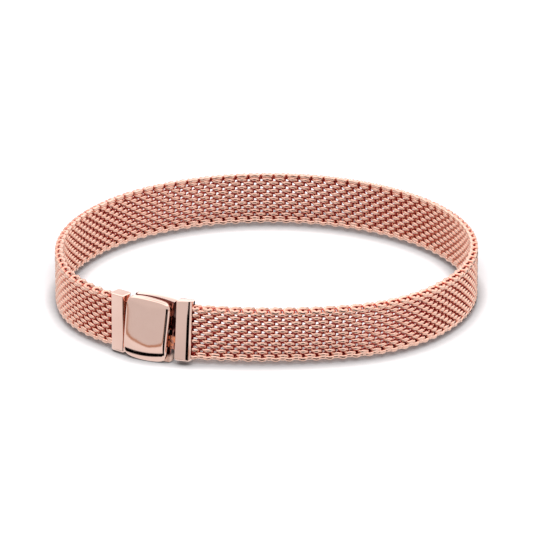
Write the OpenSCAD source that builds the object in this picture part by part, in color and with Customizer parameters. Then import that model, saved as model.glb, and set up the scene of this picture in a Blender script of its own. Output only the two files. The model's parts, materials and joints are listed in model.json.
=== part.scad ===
// Mesh bracelet: a woven wire band closed into a loop by a fold-over clasp.
// The bracelet stands on its edge. X runs to the right along the clasp, Y runs
// back across the wrist, and Z runs up across the width of the band.

/* [Mesh band] */
// Width of the woven band, from edge to edge
band_w = 7.6; // [6:0.1:8]
// Thickness of the woven band
band_t = 1.2; // [0.9:0.05:1.4]
// Rounding along the band's two edges
band_edge_r = 0.45; // [0.1:0.05:0.55]
// Radius of the loop round the back of the wrist, at the middle of the band
loop_r = 29.3; // [27:0.1:34]

/* [End caps] */
// Length of each end cap along the band
cap_len = 2.5; // [2.3:0.1:3]
// Depth of each end cap through the band's thickness
cap_depth = 2.1; // [1.9:0.1:2.6]
// Height of each end cap across the band's width
cap_h = 8.5; // [8.4:0.1:9]
// Turn of each end cap away from the clasp's own line
cap_turn = 14; // [10:0.5:18]
// Lean of the right cap, which follows the clasp
cap_lean = 3.5; // [0:0.5:3.5]
// Roll of the right cap, which follows the clasp
cap_roll = 2; // [0:0.5:2.5]
// Rounding of a cap's corners at its top and bottom
cap_corner_r = 0.4; // [0.2:0.05:0.8]
// Rounding of a cap's upright edges beside the band
cap_band_r = 0.75; // [0.3:0.05:0.95]
// Rounding of a cap's upright edges beside the clasp
cap_clasp_r = 0.2; // [0.1:0.05:0.4]
// How deep the band is seated in each cap
seat_depth = 1; // [0.6:0.1:1.2]

/* [Lid] */
// Length of the lid along the band
lid_len = 6.35; // [6:0.05:7.4]
// Height of the lid at its middle
lid_h = 9.2; // [8.8:0.1:9.6]
// Thickness of the lid
lid_t = 1.2; // [1.1:0.05:1.4]
// How far the lid's top and bottom bow out beyond its corners
lid_bow = 0.35; // [0.1:0.05:0.5]
// Rounding of the lid's corners, seen from the front
lid_corner_r = 1.2; // [0.6:0.1:1.4]
// Rounding of the lid's top and bottom front edges
lid_edge_r = 0.95; // [0.4:0.05:1]
// Rounding of the lid's upright front edges
lid_side_r = 0.45; // [0.2:0.05:0.6]

/* [Base plate] */
// Thickness of the base plate
base_t = 1.4; // [1.3:0.05:1.8]
// How much the base plate is lower than the lid, at top and bottom together
base_inset = 0.5; // [0.5:0.1:1.2]
// How far the base plate reaches beyond the lid's free edge
base_reach = 0.35; // [0:0.05:0.4]
// Rounding of the base plate's corners
base_corner_r = 0.9; // [0.4:0.1:1.2]
// How far the base plate stops short of the lid's hinged edge
base_short = 0.3; // [0.3:0.05:0.6]
// Thickness of the tail that joins the base plate to the left cap
tail_t = 0.4; // [0.3:0.05:0.5]
// Height of that tail
tail_h = 5.6; // [4:0.1:6]
// How deep the tail goes into the left cap
tail_seat = 0.5; // [0.3:0.05:0.6]

/* [Hinge] */
// Radius of the hinge pin
pin_r = 0.25; // [0.2:0.01:0.28]
// Radius of the hinge knuckles
knuckle_r = 0.52; // [0.48:0.01:0.54]
// Height of each of the base plate's two knuckles
knuckle_h = 1.9; // [1.4:0.1:2]
// Height of the lid's own knuckle between them
mid_knuckle_h = 2.6; // [2:0.1:2.8]
// Distance from the lid's hinged edge to the hinge pin
hinge_in = 0.85; // [0.85:0.01:0.95]
// Distance from the lid's rear face to the hinge pin
hinge_deep = 0.25; // [0.22:0.01:0.3]

/* [Tongue] */
// Thickness of the tongue that the lid holds down
tongue_t = 0.36; // [0.3:0.02:0.4]
// Height of the tongue
tongue_h = 4.6; // [4:0.1:5]
// How far the tongue reaches under the lid, from the lid's free edge
tongue_reach = 3.6; // [3:0.1:3.8]
// How deep the tongue goes into the right cap
tongue_seat = 0.7; // [0.4:0.05:0.8]
// Radius of the round hole in the tongue beside the lid
hole_r = 0.42; // [0.2:0.02:0.5]
// Length of the window in the tongue, along the band
window_len = 1.3; // [1:0.1:1.5]
// Height of the window in the tongue
window_h = 2; // [1.6:0.1:2.4]
// Width of the tongue left between its window and its tip
tip_len = 0.9; // [0.7:0.1:1.2]

/* [Set of the clasp] */
// How far the lid's rear face stands out from the line between the caps
clasp_out = 0.86; // [0.8:0.02:0.9]
// Gap between the lid's hinged edge and the left cap
left_gap = 0.18; // [0.16:0.02:0.5]
// Gap between the lid's free edge and the right cap, for a fingernail
right_gap = 0.95; // [0.8:0.05:1.3]
// Backward lean of the clasp on the band
clasp_lean = 5; // [0:0.5:5]
// Roll of the clasp on the band
clasp_roll = 2.5; // [0:0.5:2.5]

/* [Fits] */
// Clearance all round between the band and its seat in a cap
seat_gap = 0.04; // [0.02:0.01:0.08]
// Clearance round the hinge pin
pin_gap = 0.03; // [0.02:0.01:0.05]
// Clearance between hinge knuckles, end to end
knuckle_gap = 0.08; // [0.05:0.01:0.12]
// Clearance between a knuckle and what turns past it
barrel_gap = 0.08; // [0.06:0.01:0.09]
// Clearance between the closed lid, the tongue and the base plate
face_gap = 0.05; // [0.03:0.01:0.08]

/* [Hidden] */
$fn = 64;

rose_gold = [0.86, 0.66, 0.60];
mesh_rose = [0.78, 0.58, 0.50];
shade_rose = [0.70, 0.48, 0.42];

// The band bends round the loop in five stretches, from the right cap to the
// left one. Each row is a stretch: its share of the band's whole turn, and its
// radius as a share of loop_r. The first and last radius are worked out, so
// that the loop closes on the left cap.
TURN = 0;
RADIUS = 1;
bends = [
    [0.069, 0],
    [0.123, 0.73],
    [0.545, 1],
    [0.15, 1.09],
    [0.113, 0]
];
FIRST = 0;
LAST = len(bends) - 1;

// Where the two caps sit on the line between them, in the clasp's own plan
left_cap_x = -lid_len / 2 - left_gap - cap_len / 2 * cos(cap_turn);
right_cap_x = lid_len / 2 + right_gap + cap_len / 2 * cos(cap_turn);
band_start = [right_cap_x, 0] + cap_len / 2 * [cos(cap_turn), sin(cap_turn)];
band_end = [left_cap_x, 0] + cap_len / 2 * [-cos(cap_turn), sin(cap_turn)];

// Heading of the band before each bend, counterclockwise from +X
whole_turn = 360 - 2 * cap_turn;
function turn_before(i) = i == 0 ? 0 : turn_before(i - 1) + bends[i - 1][TURN] * whole_turn;
headings = [for (i = [0:len(bends)]) cap_turn + turn_before(i)];

// How far a bend of radius 1 carries the band, in X and Y
function unit_step(i) = [
    sin(headings[i + 1]) - sin(headings[i]),
    cos(headings[i]) - cos(headings[i + 1])
];
function known_steps(i) = i == LAST ? [0, 0]
    : bends[i][RADIUS] * loop_r * unit_step(i) + known_steps(i + 1);
open_step = band_end - band_start - known_steps(1);
closing = cross(unit_step(FIRST), unit_step(LAST));
function radius(i) =
    i == FIRST ? cross(open_step, unit_step(LAST)) / closing
    : i == LAST ? cross(unit_step(FIRST), open_step) / closing
    : bends[i][RADIUS] * loop_r;
function start_of(i) = i == 0 ? band_start
    : start_of(i - 1) + radius(i - 1) * unit_step(i - 1);

// The point of the band's middle line where it heads towards an angle
function bend_at(angle, i = 0) = angle <= headings[i + 1] ? i : bend_at(angle, i + 1);
function on_bend(angle, i) = start_of(i)
    + radius(i) * [sin(angle) - sin(headings[i]), cos(headings[i]) - cos(angle)];
function point_at(angle) = on_bend(angle, bend_at(angle));

// Middle of the whole bracelet in plan, which is put over the origin
reach_right = point_at(90)[0] + band_t / 2;
reach_back = point_at(180)[1] + band_t / 2;
reach_left = point_at(270)[0] - band_t / 2;

// The clasp's own frame: x along the lid, y into the wrist, z up, with the
// lid's rear face at y = 0
hinge_x = hinge_in - lid_len / 2;
hinge_y = -hinge_deep;
knuckle_z = mid_knuckle_h / 2 + knuckle_gap;
pin_half = knuckle_z + knuckle_h;
lid_room_r = knuckle_r + barrel_gap;
link_in = 0.15;
base_h = lid_h - base_inset;
base_start = base_short - lid_len / 2;
base_end = lid_len / 2 + base_reach;
recess_floor = tongue_t + 2 * face_gap;
tail_front = hinge_in - hinge_deep + barrel_gap;
tongue_tip = lid_len / 2 - tongue_reach;
tongue_end = lid_len / 2 + right_gap + tongue_seat;
window_x = tongue_tip + tip_len;
hole_x = (base_end + lid_len / 2 + right_gap) / 2;
bow_r = (pow(lid_len / 2, 2) + pow(lid_bow, 2)) / (2 * lid_bow);

// How far the leaning and rolled clasp reaches down, at the lid's bowed lower
// edge and at the base plate's lower right corner, and how far out in front
tip_x = sin(clasp_roll);
tip_y = cos(clasp_roll) * sin(clasp_lean);
tip_z = cos(clasp_roll) * cos(clasp_lean);
tip_xz = sqrt(tip_x * tip_x + tip_z * tip_z);
lid_drop = bow_r * tip_xz - tip_z * (bow_r - lid_h / 2);
base_drop = tip_x * (base_end - base_corner_r) + tip_y * base_t
    + tip_z * (base_h / 2 - base_corner_r) + tip_xz * base_corner_r;
cap_drop = cap_h / 2 * cos(cap_lean) + cap_depth / 2 * sin(cap_lean) + cap_len * sin(cap_roll);
foot_out = (lid_t - lid_edge_r) * cos(clasp_lean)
    + (lid_h / 2 - lid_edge_r) * sin(clasp_lean) + lid_edge_r;

mid_z = max(lid_drop, base_drop, cap_drop, band_w / 2);
reach_front = -clasp_out - foot_out;
plan_mid = [(reach_left + reach_right) / 2, (reach_front + reach_back) / 2];

edge_r = min(band_edge_r, band_t / 2 - 0.02);
link_half = 0.2;
link_over = 0.01;
eps = 0.01;

// Puts the bracelet over the origin, standing on its lowest edge
module standing() {
    translate([-plan_mid[0], -plan_mid[1], mid_z]) children();
}

// Sets the clasp on the band, with its lean and roll
module in_clasp() {
    standing()
        translate([0, -clasp_out, 0])
            rotate([-clasp_lean, clasp_roll, 0]) children();
}

// A flat rectangle with rounded corners, round its own middle
module rounded_rect(w, h, r) {
    square([w - 2 * r, h], center = true);
    square([w, h - 2 * r], center = true);
    for (x = [-1, 1], y = [-1, 1])
        translate([x * (w / 2 - r), y * (h / 2 - r)]) circle(r);
}

// The band's section, thickness across and width up, made larger by a gap
module band_section(gap = 0) {
    rounded_rect(band_t + 2 * gap, band_w + 2 * gap, edge_r);
}

// One bend of the band, swept round its own centre, a little short at each end
module band_bend(i) {
    r = radius(i);
    short = link_half / 2 / r * 180 / PI;
    from = headings[i] + short;
    translate(start_of(i) + r * [-sin(headings[i]), cos(headings[i])])
        rotate([0, 0, from - 90])
            rotate_extrude(angle = headings[i + 1] - short - from, $fn = 180)
                translate([r, 0]) band_section();
}

// The short straight link that joins a bend to the one after it
module band_link(i) {
    translate(start_of(i)) rotate([0, 0, headings[i]])
        band_bar(-link_half, link_half, link_over);
}

// A straight bar with the band's section, along X
module band_bar(from, to, gap) {
    translate([from, 0, 0]) rotate([90, 0, 90])
        linear_extrude(to - from) band_section(gap);
}

// Goes from a cap's own frame, with its band face at x = 0 and the band
// leaving towards +X, to its place on the line between the caps
module at_right_cap() {
    translate(band_start) rotate([0, 0, cap_turn]) children();
}
module at_left_cap() {
    translate(band_end) rotate([0, 0, 180 - cap_turn]) mirror([0, 1, 0]) children();
}

module mesh_band() {
    color(mesh_rose)
        standing() {
            for (i = [FIRST:LAST]) band_bend(i);
            for (i = [FIRST + 1:LAST]) band_link(i);
            at_right_cap() band_bar(-seat_depth, link_half, link_over);
            at_left_cap() band_bar(-seat_depth, link_half, link_over);
        }
}

// Outline of a cap from above, in its own frame: rounder beside the band
module cap_plan() {
    for (y = [-1, 1]) {
        translate([-cap_band_r, y * (cap_depth / 2 - cap_band_r)]) circle(cap_band_r);
        translate([cap_clasp_r - cap_len, y * (cap_depth / 2 - cap_clasp_r)]) circle(cap_clasp_r);
    }
    translate([cap_clasp_r - cap_len, -cap_depth / 2])
        square([cap_len - cap_clasp_r - cap_band_r, cap_depth]);
    translate([-cap_len, cap_clasp_r - cap_depth / 2])
        square([cap_len / 2, cap_depth - 2 * cap_clasp_r]);
    translate([-cap_len / 2, cap_band_r - cap_depth / 2])
        square([cap_len / 2, cap_depth - 2 * cap_band_r]);
}

// Body of a cap, which may lean, with an upright seat for the band
module cap_body(lean = 0, roll = 0) {
    difference() {
        rotate([-lean, roll, 0])
            intersection() {
                translate([0, 0, -cap_h / 2]) linear_extrude(cap_h) cap_plan();
                translate([-cap_len / 2, cap_depth, 0]) rotate([90, 0, 0])
                    linear_extrude(2 * cap_depth) rounded_rect(cap_len, cap_h, cap_corner_r);
            }
        band_bar(-seat_depth - seat_gap, cap_len, seat_gap + link_over);
    }
}

// The tail of the base plate: a strip past the hinge into the left cap
module base_tail(gap = 0) {
    tail_end = -lid_len / 2 - left_gap - tail_seat;
    translate([tail_end - gap, tail_front - gap, -tail_h / 2 - gap])
        cube([hinge_x + knuckle_r - tail_end + gap, tail_t + 2 * gap, tail_h + 2 * gap]);
}

module end_cap_left() {
    color(rose_gold)
        difference() {
            standing() at_left_cap() cap_body();
            in_clasp() base_tail(seat_gap);
        }
}

// The tongue of the right cap, which lies in the base plate's recess
module tongue() {
    difference() {
        translate([tongue_tip, face_gap, -tongue_h / 2])
            cube([tongue_end - tongue_tip, tongue_t, tongue_h]);
        translate([window_x, 0, -window_h / 2])
            cube([window_len, 1, window_h]);
        translate([hole_x, 1, 0]) rotate([90, 0, 0]) cylinder(r = hole_r, h = 2);
    }
}

module end_cap_right() {
    color(rose_gold) {
        standing() at_right_cap() cap_body(cap_lean, cap_roll);
        in_clasp() tongue();
    }
}

// A length of hinge barrel, its middle at a height
module barrel(r, h, z = 0) {
    translate([hinge_x, hinge_y, z - h / 2]) cylinder(r = r, h = h);
}

module clasp_base() {
    color(shade_rose)
        in_clasp()
            difference() {
                union() {
                    // The plate, stepped back at the hinge, with its recess for the tongue
                    difference() {
                        translate([(base_start + base_end) / 2, base_t, 0]) rotate([90, 0, 0])
                            linear_extrude(base_t - face_gap)
                                rounded_rect(base_end - base_start, base_h, base_corner_r);
                        translate([hinge_x + hinge_deep - lid_len, 0, -base_h])
                            cube([lid_len, tail_front, 2 * base_h]);
                        translate([tongue_tip - 2 * face_gap, 0, -tongue_h / 2 - 2 * face_gap])
                            cube([lid_len, recess_floor, tongue_h + 4 * face_gap]);
                    }
                    // The two knuckles, each with its link to the plate
                    for (side = [-1, 1])
                        barrel(knuckle_r, knuckle_h, side * (knuckle_z + knuckle_h / 2));
                    for (side = [-1, 1])
                        translate([hinge_x + link_in, hinge_y, side * (knuckle_z + knuckle_h / 2) - knuckle_h / 2])
                            cube([knuckle_r * 0.8 - link_in, hinge_deep + tail_front, knuckle_h]);
                    base_tail();
                    // The peg that stands through the tongue's window
                    translate([window_x + face_gap, face_gap, face_gap - window_h / 2])
                        cube([window_len - 2 * face_gap, base_t / 2, window_h - 2 * face_gap]);
                }
                // Room for the lid's knuckle, and the bore
                barrel(knuckle_r + barrel_gap, 2 * knuckle_z);
                barrel(pin_r + pin_gap, 2 * pin_half + 1);
            }
}

// The lid from above: rounded at the front, and round the hinge at the rear
module lid_plan() {
    half = lid_len / 2;
    intersection() {
        union() {
            for (x = [-1, 1])
                translate([x * (half - lid_side_r), lid_side_r - lid_t]) circle(lid_side_r);
            translate([lid_side_r - half, -lid_t]) square([lid_len - 2 * lid_side_r, lid_t]);
            translate([-half, lid_side_r - lid_t]) square([lid_len, lid_t - lid_side_r]);
        }
        union() {
            translate([hinge_x, hinge_y]) circle(hinge_in);
            translate([hinge_x, -lid_t]) square([lid_len, lid_t]);
            translate([-half, -lid_t]) square([lid_len, lid_t - hinge_deep]);
        }
    }
}

// A wide disc with a rounded front rim, for the lid's bowed top or bottom edge
module bowed_disc() {
    rotate([90, 0, 0]) rotate_extrude($fn = 180) {
        translate([0, -lid_t]) square([bow_r, 2 * lid_t - lid_edge_r]);
        square([bow_r - lid_edge_r, lid_t]);
        translate([bow_r - lid_edge_r, lid_t - lid_edge_r]) circle(lid_edge_r, $fn = 64);
    }
}

module clasp_lid() {
    color(rose_gold)
        in_clasp()
            difference() {
                union() {
                    intersection() {
                        translate([0, 0, -lid_h / 2]) linear_extrude(lid_h) lid_plan();
                        translate([0, 0, lid_h / 2 - bow_r]) bowed_disc();
                        translate([0, 0, bow_r - lid_h / 2]) bowed_disc();
                        translate([0, lid_t, 0]) rotate([90, 0, 0])
                            linear_extrude(3 * lid_t) rounded_rect(lid_len, lid_h, lid_corner_r);
                    }
                    barrel(knuckle_r, mid_knuckle_h);
                }
                // Room for the base plate's knuckles, and the bore
                for (side = [-1, 1])
                    barrel(lid_room_r, knuckle_h + 2 * knuckle_gap, side * (knuckle_z + knuckle_h / 2));
                barrel(pin_r + pin_gap, 2 * pin_half);
            }
}

module hinge_pin() {
    color(shade_rose)
        in_clasp() barrel(pin_r, 2 * pin_half);
}

mesh_band();
end_cap_left();
end_cap_right();
clasp_base();
clasp_lid();
hinge_pin();
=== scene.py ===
import bpy
import json
import math
from mathutils import Matrix, Vector


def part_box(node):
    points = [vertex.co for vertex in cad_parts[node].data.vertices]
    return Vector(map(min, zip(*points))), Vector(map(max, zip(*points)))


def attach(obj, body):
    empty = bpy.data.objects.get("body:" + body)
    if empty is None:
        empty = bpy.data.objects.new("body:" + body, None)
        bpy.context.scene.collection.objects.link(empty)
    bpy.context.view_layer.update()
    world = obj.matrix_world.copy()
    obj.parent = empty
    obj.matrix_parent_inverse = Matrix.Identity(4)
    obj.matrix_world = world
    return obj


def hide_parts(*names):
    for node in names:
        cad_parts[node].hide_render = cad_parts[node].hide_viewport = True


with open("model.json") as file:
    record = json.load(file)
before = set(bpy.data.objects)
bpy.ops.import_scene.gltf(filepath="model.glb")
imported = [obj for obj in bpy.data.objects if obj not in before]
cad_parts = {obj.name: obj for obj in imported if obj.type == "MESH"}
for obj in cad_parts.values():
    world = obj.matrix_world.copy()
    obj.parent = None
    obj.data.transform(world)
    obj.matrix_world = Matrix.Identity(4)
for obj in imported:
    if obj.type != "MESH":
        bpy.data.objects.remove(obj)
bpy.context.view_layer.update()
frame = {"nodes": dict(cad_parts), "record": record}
bpy.ops.object.select_all(action='DESELECT')

# Camera. It looks down on the bracelet from the front, a little from the right,
# through a long lens.
sight = Vector((-0.00031, 0.00039, 0.00459))
from_right, from_above = math.radians(25), math.radians(20.5)
camera_distance, lens_length = 0.91, 430.24
toward_camera = Vector((math.sin(from_right) * math.cos(from_above),
                        -math.cos(from_right) * math.cos(from_above),
                        math.sin(from_above)))
bpy.ops.object.camera_add(location=sight + camera_distance * toward_camera,
                          rotation=(-toward_camera).to_track_quat('-Z', 'Y').to_euler())
camera = bpy.context.object
camera.name = "camera"
camera.data.lens = lens_length
camera.data.sensor_width = 36
camera.data.clip_start = 0.05
camera.data.clip_end = 20
bpy.context.scene.camera = camera

# Woven band. It is made of flattened coils of round rose gold wire that lie
# across it, each threaded through the two beside it, and it runs round in five
# bends from the right cap to the left one.

# Sizes from here on are typed in millimetres, and angles in degrees
MM = 0.001
lid_len, lid_h, lid_t = 6.35, 9.2, 1.2
cap_len, cap_turn = 2.5, 14
left_gap, right_gap = 0.18, 0.95
band_w, band_t = 7.6, 1.2
loop_r = 29.3
# Each bend's share of the whole turn, and its radius
bend_shares = [0.069, 0.123, 0.545, 0.15, 0.113]
bend_radii = [0, 0.73 * loop_r, loop_r, 1.09 * loop_r, 0]


def pointing(turn):
    """A level direction, some degrees from the lid's length."""
    return Vector((math.cos(math.radians(turn)), math.sin(math.radians(turn))))


def bend_step(start, end):
    """The step along a bend of radius 1, from one heading to another."""
    return Vector((math.sin(end) - math.sin(start), math.cos(start) - math.cos(end)))


half_cap = cap_len / 2 * pointing(cap_turn)
left_cap_x = -lid_len / 2 - left_gap - half_cap.x
right_cap_x = lid_len / 2 + right_gap + half_cap.x
band_start = Vector((right_cap_x + half_cap.x, half_cap.y))
band_end = Vector((left_cap_x - half_cap.x, half_cap.y))

# The first and the last bend take the radii that close the loop
whole_turn = 360 - 2 * cap_turn
headings = [math.radians(cap_turn + whole_turn * sum(bend_shares[:i])) for i in range(6)]
bend_steps = [bend_step(a, b) for a, b in zip(headings, headings[1:])]
open_step = band_end - band_start
for step, r in zip(bend_steps, bend_radii):
    open_step -= r * step
closing = bend_steps[0].cross(bend_steps[4])
bend_radii[0] = open_step.cross(bend_steps[4]) / closing
bend_radii[4] = bend_steps[0].cross(open_step) / closing
bend_lengths = [r * (b - a) for r, a, b in zip(bend_radii, headings, headings[1:])]

# The clasp's middle in the frame: the record says where the left cap's foot is,
# and the band's solid says how high the band stands
cap_foot = Vector(frame["record"]["mounts"][0]["pos_m"]) / MM
band_low, band_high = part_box("mesh_band")
clasp_middle = Vector((cap_foot.x - left_cap_x, cap_foot.y, (band_low.z + band_high.z) / 2 / MM))


def along_band(s):
    """Place and heading on the band's middle line, s millimetres from the right cap."""
    at = band_start.copy()
    for r, length, heading in zip(bend_radii, bend_lengths, headings):
        if s <= length:
            break
        at += r * bend_step(heading, heading + length / r)
        s -= length
    return at + r * bend_step(heading, heading + s / r), heading + s / r


# The wire's thickness is a share of wire_r: in the middle of a strand, in a turn
# from one face to the other, and all along at the band's edges
wire_r, wire_gap = 0.262, 0.02
strand_share, turn_share, edge_share = 1.12, 0.84, 1.15
flat_depth, press_share = 0.58, 0.8
strand_swell, strand_gap = 0.08, 0.607
coil_count, first_coil, last_gap = 182, 0.195, 0.427
coil_pitch = (sum(bend_lengths) - first_coil - last_gap) / (coil_count - 1)
turn_r = band_t / 2 - wire_r
half_strand = coil_pitch - wire_gap - turn_share * wire_r - turn_r
turn_steps, end_steps, end_rise = 7, 4, 0.3
top_edge, foot_edge = 3.3, -3.4
top_rim, foot_rim, rim_reach = 3.75, -3.85, 0.4
outer, inner = True, False


def middle_strands(even_face):
    """The strands away from the edges, on one face and the other in turn."""
    return [(even_face if k % 2 == 0 else not even_face, k * strand_gap, 0) for k in range(-4, 5)]


# The strands of the two kinds of coil, from the foot up: which face each is on,
# its height, and how far its middle bows up
long_coil = [(inner, -3.38, 0), (outer, -3.46, -0.08), (inner, -3.0, 0), *middle_strands(outer),
             (inner, 3.0, 0), (outer, 3.36, -0.16), (inner, 3.5, 0.07)]
short_coil = [(outer, -3.38, 0), (inner, -3.45, -0.1), (outer, -3.0, 0), *middle_strands(inner),
              (outer, 2.98, 0)]


def coil_points(strands):
    """Middle line of one coil, and the wire's share of its thickness at each point:
    x along the band, y outwards is negative, z up."""
    points = []
    for k, (face, height, bow) in enumerate(strands):
        # The wire runs to the left on the outer face and back on the inner one
        way = -1 if face == outer else 1
        thin = edge_share if height > top_edge or height < foot_edge else turn_share
        for t in (-1, -0.6, -0.2, 0.2, 0.6, 1):
            middle = 1 - t * t
            points.append((way * t * half_strand, way * (turn_r + strand_swell * middle),
                           height + bow * middle, thin + (strand_share - thin) * middle))
        if k + 1 < len(strands):
            rise = strands[k + 1][1] - height
            steps = turn_steps
        else:
            rise = end_rise
            steps = end_steps
        for j in range(1, steps):
            a = math.pi * j / turn_steps
            points.append((way * (half_strand + turn_r * math.sin(a)), way * turn_r * math.cos(a),
                           height + rise * (1 - math.cos(a)) / 2, thin))
    return points


def deselect():
    bpy.ops.object.select_all(action='DESELECT')


def make_coil(name, strands):
    """One coil of wire, pressed on both faces."""
    bpy.ops.curve.primitive_nurbs_path_add(location=(0, 0, 0))
    coil = bpy.context.object
    coil.name = name
    curve = coil.data
    curve.splines.clear()
    points = coil_points(strands)
    line = curve.splines.new('POLY')
    line.points.add(len(points) - 1)
    for spot, (x, y, z, thick) in zip(line.points, points):
        spot.co = (x * MM, y * MM, z * MM, 1)
        spot.radius = thick
    curve.dimensions = '3D'
    curve.twist_mode = 'MINIMUM'
    curve.bevel_depth = wire_r * MM
    curve.bevel_resolution = 2
    curve.use_fill_caps = True
    bpy.ops.object.convert(target='MESH')
    coil = bpy.context.object
    # Pressing leaves a long flat on each strand. Painted shade darkens the metal between the strands, and
    # a painted highlight lightens the faces and the band's two rims
    painted_light_share = coil.data.attributes.new("painted_light_share", 'FLOAT', 'POINT')
    for point in coil.data.vertices:
        x, y, z = point.co / MM
        past = max(0, abs(y) - flat_depth)
        point.co.y = math.copysign(abs(y) - press_share * past, y) * MM
        painted_light_share.data[point.index].value = max(abs(y) / (band_t / 2),
                                              1 - abs(z - top_rim) / rim_reach,
                                              1 - abs(z - foot_rim) / rim_reach)
    bpy.ops.object.shade_smooth()
    deselect()
    return coil


def new_finish(name):
    """A new material, with its node tree and its shader."""
    finish = bpy.data.materials.new(name)
    finish.use_nodes = True
    return finish, finish.node_tree, finish.node_tree.nodes["Principled BSDF"]


def new_metal(name):
    finish, tree, metal = new_finish(name)
    metal.inputs["Metallic"].default_value = 1.0
    return finish, tree, metal


def feed(tree, socket, value):
    """Links a node's output to a socket, or sets a plain number or colour there."""
    if isinstance(value, bpy.types.NodeSocket):
        tree.links.new(value, socket)
    else:
        socket.default_value = value


def calc(tree, operation, *values):
    """A calculation with one to three values."""
    step = tree.nodes.new("ShaderNodeMath")
    step.operation = operation
    for socket, value in zip(step.inputs, values):
        feed(tree, socket, value)
    return step.outputs["Value"]


def grain(tree, scale, detail, distortion=0, stretch=None, turn=(0, 0, 0)):
    """Noise on the piece's own coordinates, which may be turned and stretched first.
    The scale counts its grains along a metre."""
    at = tree.nodes.new("ShaderNodeTexCoord").outputs["Object"]
    if stretch:
        mapping = tree.nodes.new("ShaderNodeMapping")
        mapping.inputs["Rotation"].default_value = turn
        mapping.inputs["Scale"].default_value = stretch
        tree.links.new(at, mapping.inputs["Vector"])
        at = mapping.outputs["Vector"]
    noise = tree.nodes.new("ShaderNodeTexNoise")
    noise.inputs["Scale"].default_value = scale
    noise.inputs["Detail"].default_value = detail
    noise.inputs["Distortion"].default_value = distortion
    tree.links.new(at, noise.inputs["Vector"])
    return noise.outputs["Fac"]


def colours(tree, value, stops):
    """Colours along a value, from pairs of a place and a colour."""
    ramp = tree.nodes.new("ShaderNodeValToRGB")
    marks = ramp.color_ramp.elements
    marks.remove(marks[1])
    for k, (at, colour) in enumerate(stops):
        mark = marks[0] if k == 0 else marks.new(at)
        mark.position = at
        mark.color = (*colour, 1)
    tree.links.new(value, ramp.inputs["Fac"])
    return ramp.outputs["Color"]


wire, tree, metal = new_metal("rose_gold_wire")
metal.inputs["Roughness"].default_value = 0.16
# The low dark red stop is painted shade between the strands, the pale top stop is a painted highlight on
# the faces and rims, and the noise is the metal's own tone
painted_light_share = tree.nodes.new("ShaderNodeAttribute")
painted_light_share.attribute_name = "painted_light_share"
grain_and_painted_light = calc(tree, 'MULTIPLY_ADD', grain(tree, scale=900, detail=3), 0.3, painted_light_share.outputs["Fac"])
feed(tree, metal.inputs["Base Color"], colours(tree, grain_and_painted_light, [(0.5, (0.6, 0.11, 0.087)),
                                                            (0.85, (0.86, 0.435, 0.32)),
                                                            (1, (0.93, 0.575, 0.46))]))

# The first coils follow the right cap, which leans back
lean_reach, lean_turn, lean_shift = 24, math.radians(-9), Vector((0, -0.15, 0.12))
coil_kinds = [make_coil("long_coil", long_coil), make_coil("short_coil", short_coil)]
weave_names = ["mesh_weave_right", "mesh_weave_back", "mesh_weave_left"]
for part, name in enumerate(weave_names):
    first = coil_count * part // len(weave_names)
    last = coil_count * (part + 1) // len(weave_names)
    copies = []
    for k in range(first, last):
        at, heading = along_band(first_coil + coil_pitch * k)
        near_cap = max(0, 1 - coil_pitch * k / lean_reach) ** 2
        coil = coil_kinds[k % 2].copy()
        coil.data = coil_kinds[k % 2].data.copy()
        bpy.context.collection.objects.link(coil)
        coil.location = (clasp_middle + at.to_3d() + near_cap * lean_shift) * MM
        coil.rotation_euler = (near_cap * lean_turn, 0, heading)
        copies.append(coil)
    for coil in copies:
        coil.select_set(True)
    bpy.context.view_layer.objects.active = copies[0]
    bpy.ops.object.join()
    bpy.ops.object.transform_apply(location=True, rotation=True, scale=True)
    weave = bpy.context.object
    weave.name = name
    weave.data.materials.clear()
    weave.data.materials.append(wire)
    deselect()
    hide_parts("mesh_band")
    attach(weave, "bracelet")
for coil in coil_kinds:
    bpy.data.objects.remove(coil, do_unlink=True)

# Lid. A cushion of polished rose gold, cast in one with its hinge knuckle. Its
# face swells gently and rolls over to the edges, and the top and bottom bow out.
clasp_lean, clasp_roll, clasp_out = 5, 2.5, 0.86
lid_bow, corner_power = 0.35, 9
swell_side, swell_top, top_power, swell_foot, foot_power = 0.2, 0.14, 9, 0.6, 3.55
rim_left, rim_right, rim_end = 0.4, 0.6, 0.38
right_more, right_slant = 0.27, 0.03
hinge_in, hinge_deep = 0.85, 0.25
hinge_x, hinge_y = hinge_in - lid_len / 2, -hinge_deep
knuckle_r, knuckle_h, mid_knuckle_h = 0.52, 1.9, 2.6
pin_r, pin_gap, knuckle_gap, barrel_gap = 0.25, 0.03, 0.08, 0.08
knuckle_z = mid_knuckle_h / 2 + knuckle_gap + knuckle_h / 2
pin_half = knuckle_z + knuckle_h / 2
round_sides, smooth_angle = 40, math.radians(30)


def turned(degrees, axis):
    return Matrix.Rotation(math.radians(degrees), 4, axis)


stand = Matrix.Translation(clasp_middle)
clasp_place = (stand @ Matrix.Translation((0, -clasp_out, 0))
               @ turned(clasp_roll, 'Y') @ turned(-clasp_lean, 'X'))


def choose(piece):
    deselect()
    piece.select_set(True)
    bpy.context.view_layer.objects.active = piece


def put(piece, place):
    """Moves a piece's mesh to its place, in millimetres."""
    choose(piece)
    piece.matrix_world = place
    bpy.ops.object.transform_apply(location=True, rotation=True, scale=True)


def cut(piece, tool, operation='DIFFERENCE'):
    """Cuts a tool out of a piece, or fuses it on, and takes the tool away."""
    trim = piece.modifiers.new("trim", 'BOOLEAN')
    trim.operation = operation
    trim.solver = 'EXACT'
    trim.object = tool
    choose(piece)
    bpy.ops.object.modifier_apply(modifier=trim.name)
    bpy.data.objects.remove(tool, do_unlink=True)


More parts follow.
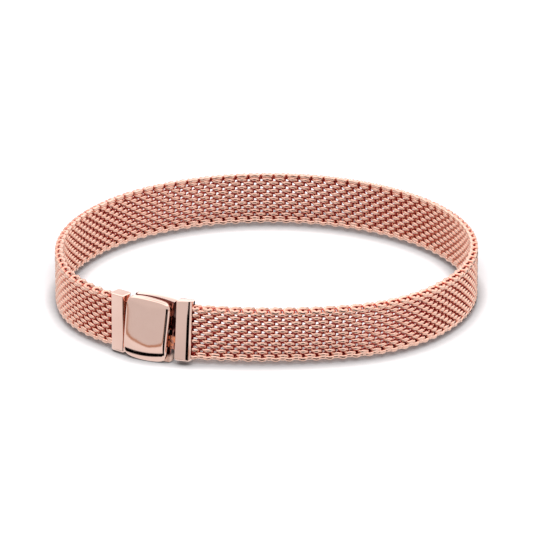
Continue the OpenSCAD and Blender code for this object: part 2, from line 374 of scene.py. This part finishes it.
def barrel(radius, height, z=0):
    """A round bar on the hinge line."""
    deselect()
    bpy.ops.mesh.primitive_cylinder_add(vertices=round_sides, radius=radius, depth=height,
                                        location=(hinge_x, hinge_y, z))
    bpy.ops.object.transform_apply(location=True, rotation=True, scale=True)
    return bpy.context.object


def finish_piece(piece, finish, node, body):
    """Brings a piece to metres, with its finish, in the place of a plain solid."""
    put(piece, Matrix.Scale(MM, 4))
    bpy.ops.object.shade_smooth_by_angle(angle=smooth_angle)
    piece.data.materials.clear()
    piece.data.materials.append(finish)
    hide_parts(node)
    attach(piece, body)
    deselect()


def swell(u, v):
    """How far the face falls back at a share of the way across and up the lid."""
    upright = swell_top * v ** top_power if v > 0 else swell_foot * abs(v) ** foot_power
    return swell_side * u * u + upright


# The lid starts as a sphere that faces forwards. Its rings become the face's, from
# the middle out, then the rolled rim's, and then the back's, which have a share
# of the outline and a depth each
spokes, rim_steps, slope_share = 176, 8, 0.9
face_rings = [0, 0.1, 0.22, 0.34, 0.45, 0.55, 0.64, 0.72, 0.79, 0.85, 0.9, 0.94]
face_reach = 0.96
back_rings = [(1, -0.12), (0.985, -0.03), (0.96, 0), (0.5, 0), (0.2, 0), (0, 0)]
ring_total = len(face_rings) + rim_steps + len(back_rings)
deselect()
bpy.ops.mesh.primitive_uv_sphere_add(segments=spokes, ring_count=ring_total, radius=1,
                                     location=(0, 0, 0))
lid = bpy.context.object
lid.name = "lid_polished"
for point in lid.data.vertices:
    x, z, front = point.co
    ring = round(math.acos(max(-1, min(1, front))) / math.pi * ring_total)
    spoke = math.atan2(z, x)
    # The outline is a square with rounded corners, drawn out to the lid's sizes
    side, end = abs(math.cos(spoke)) ** corner_power, abs(math.sin(spoke)) ** corner_power
    reach = (side + end) ** (-1 / corner_power)
    end_share = end / (side + end)
    across, up = reach * math.cos(spoke), reach * math.sin(spoke)
    half = lid_len / 2 + (lid_h / 2 - lid_len / 2) * end_share
    # The rim takes over where the face has the same slope
    rim = rim_right if x > 0 else rim_left
    rim += (rim_end - rim) * end_share
    end_steep = top_power * swell_top if z > 0 else foot_power * swell_foot
    steep = 2 * swell_side * (1 - end_share) + end_steep * end_share
    tilt = math.atan(slope_share * steep / half)
    start = 1 - rim * (1 - math.sin(tilt)) / half
    if ring < len(face_rings):
        size = face_rings[ring] * start / face_reach
        depth = swell(size * across, size * up) - lid_t
    elif ring <= len(face_rings) + rim_steps:
        now = tilt + (math.pi / 2 - tilt) * (ring - len(face_rings)) / rim_steps
        size = 1 - rim * (1 - math.sin(now)) / half
        depth = swell(start * across, start * up) - lid_t + rim * (math.cos(tilt) - math.cos(now))
    else:
        size, depth = back_rings[ring - len(face_rings) - rim_steps - 1]
    u, v = size * across, size * up
    more = right_more + right_slant * v * lid_h / 2 if u > 0 else 0
    point.co = (u * (lid_len / 2 + more), depth, v * (lid_h / 2 - lid_bow * u * u))
choose(lid)
bpy.ops.object.mode_set(mode='EDIT')
bpy.ops.mesh.select_all(action='SELECT')
bpy.ops.mesh.normals_make_consistent(inside=False)
bpy.ops.object.mode_set(mode='OBJECT')
cut(lid, barrel(knuckle_r, mid_knuckle_h), 'UNION')
for side in (-1, 1):
    cut(lid, barrel(knuckle_r + barrel_gap, knuckle_h + 2 * knuckle_gap, side * knuckle_z))
cut(lid, barrel(pin_r + pin_gap, 2 * pin_half))
put(lid, clasp_place)


def fit(tree, value, low, high, to_low=0, to_high=1):
    """A value that runs from low to high, fitted to another range and held at its ends."""
    span = tree.nodes.new("ShaderNodeMapRange")
    span.inputs["From Min"].default_value = low
    span.inputs["From Max"].default_value = high
    span.inputs["To Min"].default_value = to_low
    span.inputs["To Max"].default_value = to_high
    tree.links.new(value, span.inputs["Value"])
    return span.outputs["Result"]


def relief(tree, height, strength, depth):
    bump = tree.nodes.new("ShaderNodeBump")
    bump.inputs["Strength"].default_value = strength
    bump.inputs["Distance"].default_value = depth
    tree.links.new(height, bump.inputs["Height"])
    return bump.outputs["Normal"]


polish, tree, metal = new_metal("polished_rose_gold")
cloud = grain(tree, scale=260, detail=4)
scratches = grain(tree, scale=1, detail=2, stretch=(700, 700, 9000), turn=(0.2, 0.35, 0.1))
feed(tree, metal.inputs["Base Color"], colours(tree, cloud, [(0.3, (0.91, 0.62, 0.53)),
                                                             (0.7, (0.94, 0.66, 0.57))]))
feed(tree, metal.inputs["Roughness"], fit(tree, cloud, 0.3, 0.7, 0.045, 0.1))
feed(tree, metal.inputs["Normal"], relief(tree, scratches, strength=0.025, depth=0.02 * MM))
finish_piece(lid, polish, "clasp_lid", "lid")

# Base plate. It lies under the lid, milled from the same metal with a recess for
# the right cap's tongue, and carries the hinge's two outer knuckles and its tail.
face_gap, seat_gap = 0.05, 0.04
base_t, base_h = 1.4, lid_h - 0.58
base_start, base_end = 0.65 - lid_len / 2, lid_len / 2 + 0.55
base_left_r, base_right_r, base_edge_r = 0.6, 0.5, 0.12
base_top, base_crown_r, crown_len, crown_sides = 4.74, 19.4, 9, 360
tongue_t, tongue_h, tongue_tip = 0.36, 4.6, lid_len / 2 - 3.6
tongue_end = lid_len / 2 + right_gap + 0.7
window_x, window_len, window_h = tongue_tip + 0.9, 1.3, 2
tail_front = hinge_in - hinge_deep + barrel_gap
tail_end, tail_t, tail_h = -lid_len / 2 - left_gap - 0.5, 0.4, 5.6
link_in, link_out = 0.15, 0.8 * knuckle_r
recess_half = tongue_h / 2 + 2 * face_gap
# How far a tool stands past what it cuts, and how near two ends are to count as level
past, touching = 1, 0.01


def block(low, high):
    """A plain block between two corners."""
    low, high = Vector(low), Vector(high)
    deselect()
    bpy.ops.mesh.primitive_cube_add(size=1, location=(low + high) / 2, scale=high - low)
    bpy.ops.object.transform_apply(location=True, rotation=True, scale=True)
    return bpy.context.object


def cross_bar(radius, length, x, z, sides):
    """A round bar that lies from front to back."""
    deselect()
    bpy.ops.mesh.primitive_cylinder_add(vertices=sides, radius=radius, depth=length,
                                        rotation=(math.pi / 2, 0, 0), location=(x, 0, z))
    bpy.ops.object.transform_apply(location=True, rotation=True, scale=True)
    return bpy.context.object


def round_edges(piece, radius_of, largest, steps):
    """Rounds each edge by the radius that radius_of gives for its two ends."""
    weights = piece.data.attributes.new("bevel_weight_edge", 'FLOAT', 'EDGE')
    for edge in piece.data.edges:
        ends = [piece.data.vertices[k].co for k in edge.vertices]
        weights.data[edge.index].value = radius_of(*ends) / largest
    rounding = piece.modifiers.new("rounding", 'BEVEL')
    rounding.limit_method = 'WEIGHT'
    rounding.width = largest
    rounding.segments = steps
    choose(piece)
    bpy.ops.object.modifier_apply(modifier=rounding.name)


def base_radius(p, q):
    if abs(p.y - q.y) < touching:
        return base_edge_r
    if abs(p.x - base_end) < touching:
        return base_right_r
    return base_left_r if abs(p.x - base_start) < touching else 0


base = block((base_start, face_gap, -base_h / 2), (base_end, base_t, base_top + past))
base.name = "base_plate"
# The upper edge is a wide arc
cut(base, cross_bar(base_crown_r, crown_len, (base_start + base_end) / 2, base_top - base_crown_r,
                    crown_sides), 'INTERSECT')
round_edges(base, base_radius, base_left_r, steps=6)
cut(base, block((hinge_x + hinge_deep - lid_len, -past, -base_h),
                (hinge_x + hinge_deep, tail_front, base_h)))
cut(base, block((tongue_tip - 2 * face_gap, -past, -recess_half),
                (lid_len, tongue_t + 2 * face_gap, recess_half)))
for side in (-1, 1):
    cut(base, barrel(knuckle_r, knuckle_h, side * knuckle_z), 'UNION')
    cut(base, block((hinge_x + link_in, hinge_y, side * knuckle_z - knuckle_h / 2),
                    (hinge_x + link_out, tail_front, side * knuckle_z + knuckle_h / 2)), 'UNION')
cut(base, block((tail_end, tail_front, -tail_h / 2),
                (hinge_x + knuckle_r, tail_front + tail_t, tail_h / 2)), 'UNION')
cut(base, block((window_x + face_gap, face_gap, face_gap - window_h / 2),
                (window_x + window_len - face_gap, base_t / 2, window_h / 2 - face_gap)), 'UNION')
cut(base, barrel(knuckle_r + barrel_gap, 2 * (knuckle_z - knuckle_h / 2)))
cut(base, barrel(pin_r + pin_gap, 2 * pin_half + past))
put(base, clasp_place)


def blend(tree, share, first, second, kind='RGBA'):
    """A mix of two colours, or of two numbers."""
    mix = tree.nodes.new("ShaderNodeMix")
    mix.data_type = kind
    # A Mix node has its own sockets for each kind of value
    into_first, into_second, out = (6, 7, 2) if kind == 'RGBA' else (2, 3, 0)
    feed(tree, mix.inputs["Factor"], share)
    feed(tree, mix.inputs[into_first], first)
    feed(tree, mix.inputs[into_second], second)
    return mix.outputs[out]


def painted_shade_metal(name, painted_reflection_foot=False):
    """Rose gold with painted shade: clean under the closed lid and at the clasp's foot, with painted
    shade and streaky painted reflections in the gap to the right cap, and an even brown painted groove
    shadow along the plate's upper edge."""
    finish, tree, metal = new_metal(name)
    metal.inputs["Roughness"].default_value = 0.2
    place = tree.nodes.new("ShaderNodeSeparateXYZ")
    tree.links.new(tree.nodes.new("ShaderNodeTexCoord").outputs["Object"], place.inputs["Vector"])
    height = place.outputs["Z"]
    streaks = grain(tree, scale=1, detail=3, distortion=1.2, stretch=(2600, 2600, 420))
    crown = fit(tree, height, 8.3 * MM, 8.8 * MM)
    in_gap = fit(tree, place.outputs["X"], -2.4 * MM, -2.1 * MM)
    above_foot = fit(tree, height, 0.8 * MM, 1.3 * MM)
    clean = colours(tree, streaks, [(0.35, (0.72, 0.45, 0.36)), (0.65, (0.88, 0.6, 0.5))])
    # The dark colours are painted shade with streaks of painted reflection, and at the crown they give an
    # even painted groove shadow
    dark = colours(tree, blend(tree, crown, streaks, 0.53, 'FLOAT'),
                   [(0.42, (0.012, 0.002, 0.002)), (0.52, (0.15, 0.04, 0.035)),
                    (0.66, (0.75, 0.33, 0.25))])
    if painted_reflection_foot:
        # The tongue's lower half has orange spots of painted reflection
        spots = colours(tree, grain(tree, scale=1900, detail=2), [(0.45, (0, 0, 0)), (0.52, (1, 1, 1))])
        spotted = calc(tree, 'MULTIPLY', spots, fit(tree, height, 4.1 * MM, 3.8 * MM))
        dark = blend(tree, spotted, dark, (0.95, 0.33, 0.17, 1))
    dark_share = calc(tree, 'MULTIPLY', above_foot, calc(tree, 'MAXIMUM', in_gap, crown))
    feed(tree, metal.inputs["Base Color"], blend(tree, dark_share, clean, dark))
    return finish


finish_piece(base, polish, "clasp_base", "bracelet")
# Its front, its recess and the end beside the right cap take the rose gold with painted shade, and its
# top, its foot and its back are polished
base.data.materials.append(painted_shade_metal("painted_shade_rose_gold"))
back_skin, level_share, front_share = 0.1, 0.5, 0.3
to_clasp = (Matrix.Scale(MM, 4) @ clasp_place).inverted()
for face in base.data.polygons:
    at = to_clasp @ face.center
    way = (to_clasp.to_3x3() @ face.normal).normalized()
    inside = abs(way.z) < level_share and at.y < base_t - back_skin
    if inside and (way.y < -front_share or at.x > lid_len / 2):
        face.material_index = 1

# End caps. Each is a solid polished block with the band's end seated in its back,
# square where it meets the clasp and rounder beside the band. The left one takes
# the base plate's tail, and the right one leans and carries the tongue.
cap_depth, cap_h, seat_depth = 2.1, 8.55, 1
cap_band_r, cap_clasp_r, cap_back_r, cap_top_r, cap_foot_r = 0.75, 0.12, 0.6, 0.16, 0.36
right_len, right_turn, right_lean, right_roll, right_rise = 2.3, 9, 10, -0.6, 0.3
hole_r, hole_x = 0.42, lid_len / 2 + 0.33


def make_cap(name, length, front):
    """A cap with its band end at the origin, and its front on the side of y that is given."""

    def cap_radius(p, q):
        if abs(p.z - q.z) < touching:
            return cap_top_r if p.z > 0 else cap_foot_r
        if p.x > -touching:
            return cap_band_r
        return cap_clasp_r if p.y * front > 0 else cap_back_r

    cap = block((-length, -cap_depth / 2, -cap_h / 2), (0, cap_depth / 2, cap_h / 2))
    cap.name = name
    round_edges(cap, cap_radius, cap_band_r, steps=8)
    cut(cap, block((-seat_depth - seat_gap, -band_t / 2 - seat_gap, -band_w / 2 - seat_gap),
                   (past, band_t / 2 + seat_gap, band_w / 2 + seat_gap)))
    return cap


left_cap = make_cap("left_cap", cap_len, front=1)
put(left_cap, stand @ Matrix.Translation(band_end.to_3d()) @ turned(180 - cap_turn, 'Z'))
tail_room = block((tail_end - seat_gap, tail_front - seat_gap, -tail_h / 2 - seat_gap),
                  (hinge_x, tail_front + tail_t + seat_gap, tail_h / 2 + seat_gap))
put(tail_room, clasp_place)
cut(left_cap, tail_room)
finish_piece(left_cap, polish, "end_cap_left", "bracelet")

right_cap = make_cap("right_cap", right_len, front=-1)
right_mouth = band_start - cap_len * pointing(cap_turn) + cap_len * pointing(right_turn)
put(right_cap, stand @ Matrix.Translation((right_mouth.x, right_mouth.y, right_rise))
    @ turned(right_turn, 'Z') @ turned(right_roll, 'Y') @ turned(-right_lean, 'X'))
finish_piece(right_cap, polish, "end_cap_right", "bracelet")

tongue = block((tongue_tip, face_gap, -tongue_h / 2), (tongue_end, face_gap + tongue_t, tongue_h / 2))
tongue.name = "tongue"
cut(tongue, block((window_x, -past, -window_h / 2), (window_x + window_len, past, window_h / 2)))
cut(tongue, cross_bar(hole_r, 2 * past, hole_x, 0, round_sides))
put(tongue, clasp_place)
finish_piece(tongue, painted_shade_metal("painted_shade_and_reflection_rose_gold", painted_reflection_foot=True), "end_cap_right", "bracelet")

# Hinge pin. A short drawn steel rod, gilt like the rest, pressed through the
# knuckles of the lid and the base plate. Only its ends are seen.
pin_metal, tree, metal = new_metal("drawn_pin_metal")
metal.inputs["Roughness"].default_value = 0.25
rings = grain(tree, scale=1, detail=3, stretch=(900, 900, 9000))
feed(tree, metal.inputs["Base Color"], colours(tree, rings, [(0, (0.62, 0.4, 0.33)),
                                                             (1, (0.88, 0.64, 0.55))]))
feed(tree, metal.inputs["Normal"], relief(tree, rings, strength=0.2, depth=0.02 * MM))
for slot in frame["nodes"]["hinge_pin"].material_slots:
    slot.material = pin_metal

# Floor. A plain white sheet, which the polished metal doesn't mirror, under a broad lamp high in front
# and a wide tent. Its colour holds a painted contact shadow, greyer where the bracelet stands near, which
# adds to the lamps' own close shadow at the foot.
floor_size, shade_reach, red_share = 6000 * MM, 2.7 * MM, 0.98
shade_levels = [(0.3, 0.16), (0.42, 0.38), (0.6, 0.5), (0.75, 0.65), (0.88, 0.83), (0.96, 0.93)]
bpy.ops.mesh.primitive_plane_add(size=floor_size, location=(0, 0, 0))
floor = bpy.context.object
floor.name = "floor"
floor.visible_glossy = False
paper, tree, sheet = new_finish("white_floor")
sheet.inputs["Roughness"].default_value = 0.8
sheet.inputs["Specular IOR Level"].default_value = 0
# Painted shadow: the floor's colour is darkened by how closely the bracelet hems it in
painted_contact_shadow = tree.nodes.new("ShaderNodeAmbientOcclusion")
painted_contact_shadow.samples = 32
painted_contact_shadow.inputs["Distance"].default_value = shade_reach
feed(tree, sheet.inputs["Base Color"],
     colours(tree, painted_contact_shadow.outputs["AO"],
             [(at, (red_share * level, red_share * level, level)) for at, level in shade_levels]))
floor.data.materials.append(paper)
deselect()

# Each lamp's strength, its width and its tilt from straight above, in degrees
for name, strength, width, tilt in (("front_lamp", 4.9, 42, 49), ("tent_lamp", 0.9, 150, 0)):
    bpy.ops.object.light_add(type='SUN', location=(0, 0, 1), rotation=(math.radians(tilt), 0, from_right))
    lamp = bpy.context.object
    lamp.name = name
    lamp.data.energy = strength
    lamp.data.angle = math.radians(width)
    lamp.visible_glossy = False
deselect()

# Studio round the bracelet, which only the metal mirrors. It is bright overhead,
# with a pale table below whose far edge is brown, and dark flags stand low in front,
# at the right and behind.
studio = bpy.data.worlds.new("studio")
bpy.context.scene.world = studio
studio.use_nodes = True
studio.cycles_visibility.diffuse = False
tree = studio.node_tree
aim = tree.nodes.new("ShaderNodeSeparateXYZ")
tree.links.new(tree.nodes.new("ShaderNodeTexCoord").outputs["Generated"], aim.inputs["Vector"])
degrees = 180 / math.pi
rise = calc(tree, 'MULTIPLY', calc(tree, 'ARCSINE', aim.outputs["Z"]), degrees)
forward = calc(tree, 'MULTIPLY', aim.outputs["Y"], -1)
bearing = calc(tree, 'MULTIPLY', calc(tree, 'ARCTAN2', aim.outputs["X"], forward), degrees)


def levels(value, limit, stops):
    """Grey levels along a value in degrees that runs from minus the limit to the limit."""
    shares = [((at + limit) / (2 * limit), (level, level, level)) for at, level in stops]
    return colours(tree, fit(tree, value, -limit, limit), shares)


def patch(rise_stops, bearing_stops):
    """A patch of the studio, between two heights and two bearings."""
    return calc(tree, 'MULTIPLY', levels(rise, 90, rise_stops), levels(bearing, 180, bearing_stops))


# The pale table's far edge dips in front, where the lid mirrors it
deepest_dip = 25
edge_dip = calc(tree, 'MULTIPLY',
                levels(bearing, 180, [(-53, 0.24), (-38.7, 0.25), (-36, 0.36), (-33.6, 0.456),
                                      (-30, 0.52), (-26.4, 0.59), (-22.8, 0.65), (-18, 0.59),
                                      (-14.2, 0.51), (-11, 0.45), (0, 0.4), (30, 0.2)]),
                deepest_dip)
past_edge = calc(tree, 'ADD', rise, edge_dip)
light_by_rise = levels(past_edge, 90, [(-60, 0.9), (-16, 0.88), (-12, 0.92), (-6.2, 0.92), (-4.5, 0.34),
                                       (-2.8, 0.7), (4, 0.68), (9, 0.74), (34, 0.74), (49, 1.6),
                                       (62, 1.6), (76, 1.02), (90, 1)])
back_light = patch([(-20, 0), (0, 0.4), (5, 0.7), (13, 0.7), (18, 0.26), (50, 0.26), (70, 0)],
                   [(-130, 1), (-80, 0), (80, 0), (130, 1)])
front_flag = patch([(-42.5, 0), (-40.5, 1), (-33, 1), (-31.5, 0)], [(-75, 0), (-55, 1), (60, 1), (75, 0)])
right_flag = patch([(-17, 0), (-15, 1), (-0.8, 1), (0, 0)], [(2, 0), (5, 1), (52, 1), (60, 0)])
low_flag = patch([(-34, 0), (-33, 1), (-16, 1), (-15, 0)], [(4, 0), (8, 1), (52, 1), (60, 0)])
back_flag = patch([(-30, 0), (-27, 1), (-13, 1), (-9, 0)], [(-150, 1), (-125, 0), (156, 0), (163, 1)])
flags = front_flag
for flag in (right_flag, low_flag, back_flag):
    flags = calc(tree, 'MAXIMUM', flags, flag)
open_studio = calc(tree, 'SUBTRACT', 1, flags)
light = calc(tree, 'MULTIPLY', calc(tree, 'ADD', light_by_rise, back_light), open_studio)
brown_edge = calc(tree, 'MULTIPLY', levels(past_edge, 90, [(-7, 0), (-5.2, 1), (-3.8, 1), (-2.4, 0)]),
                  open_studio)
feed(tree, tree.nodes["Background"].inputs["Color"], blend(tree, brown_edge, light, (0.5, 0.29, 0.19, 1)))
bpy.context.scene.view_settings.view_transform = 'Standard'
